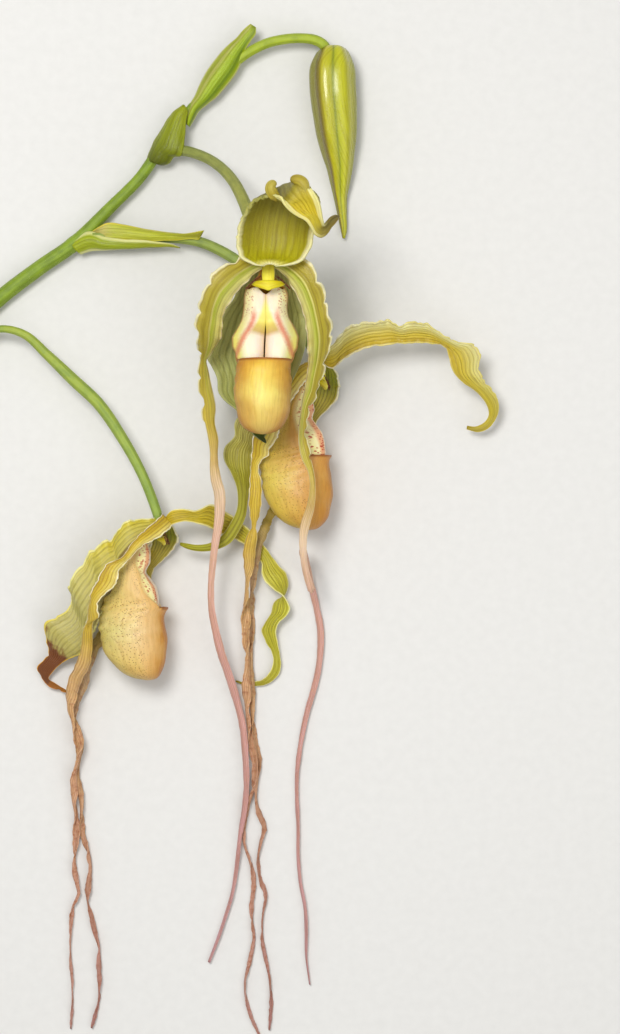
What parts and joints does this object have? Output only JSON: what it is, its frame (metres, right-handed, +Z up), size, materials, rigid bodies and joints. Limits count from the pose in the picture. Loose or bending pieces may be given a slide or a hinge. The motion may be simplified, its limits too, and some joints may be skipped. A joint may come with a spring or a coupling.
{
  "type": "slipper orchid flowering stem",
  "caption": "Cut, lying flowering stem of a long-petalled slipper orchid: open flowers with pouches and trailing petal tails, a bud, and bracts on a curved green stem.",
  "frame": {"origin": "middle of the bounding box, on the surface that the cut stem lies on", "axes": "+Y from the tips of the petal tails towards the bud, +X the way that the side-lying flowers face, +Z up from the surface; the open flower nearest the bud faces +Z"},
  "size_m": [0.2785, 0.4305, 0.1054],
  "materials": {
    "stem": "fresh green stem and stalks, satin, with very short fine hairs",
    "bract": "fresh green bract, satin, with fine veins along it",
    "bud": "waxy yellow-green bud skin with darker streaks along it, glossy",
    "sepal": "thin petal tissue, olive and yellow with green veins along it, satin",
    "petal": "thin petal tissue, yellow-green at the base, drying to pink and tan in the tail",
    "lip": "waxy pouch, yellow to amber with fine brown specks, semi-gloss",
    "column": "waxy yellow column and shield with fine brown hairs at the edge"
  },
  "bodies": {
    "root": {"stem": "stem", "pedicel_ovary_a": "stem", "pedicel_ovary_b": "stem", "pedicel_ovary_c": "stem", "pedicel_bud": "stem", "bract_a": "bract", "bract_b": "bract", "bract_c": "bract", "bract_bud": "bract", "bud": "bud", "dorsal_sepal_a": "sepal", "synsepal_a": "sepal", "dorsal_sepal_b": "sepal", "synsepal_b": "sepal", "dorsal_sepal_c": "sepal", "synsepal_c": "sepal", "petal_left_a": "petal", "petal_right_a": "petal", "petal_near_b": "petal", "petal_far_b": "petal", "petal_near_c": "petal", "petal_far_c": "petal", "lip_a": "lip", "column_a": "column", "lip_b": "lip", "column_b": "column", "lip_c": "lip", "column_c": "column"}
  },
  "joints": []
}
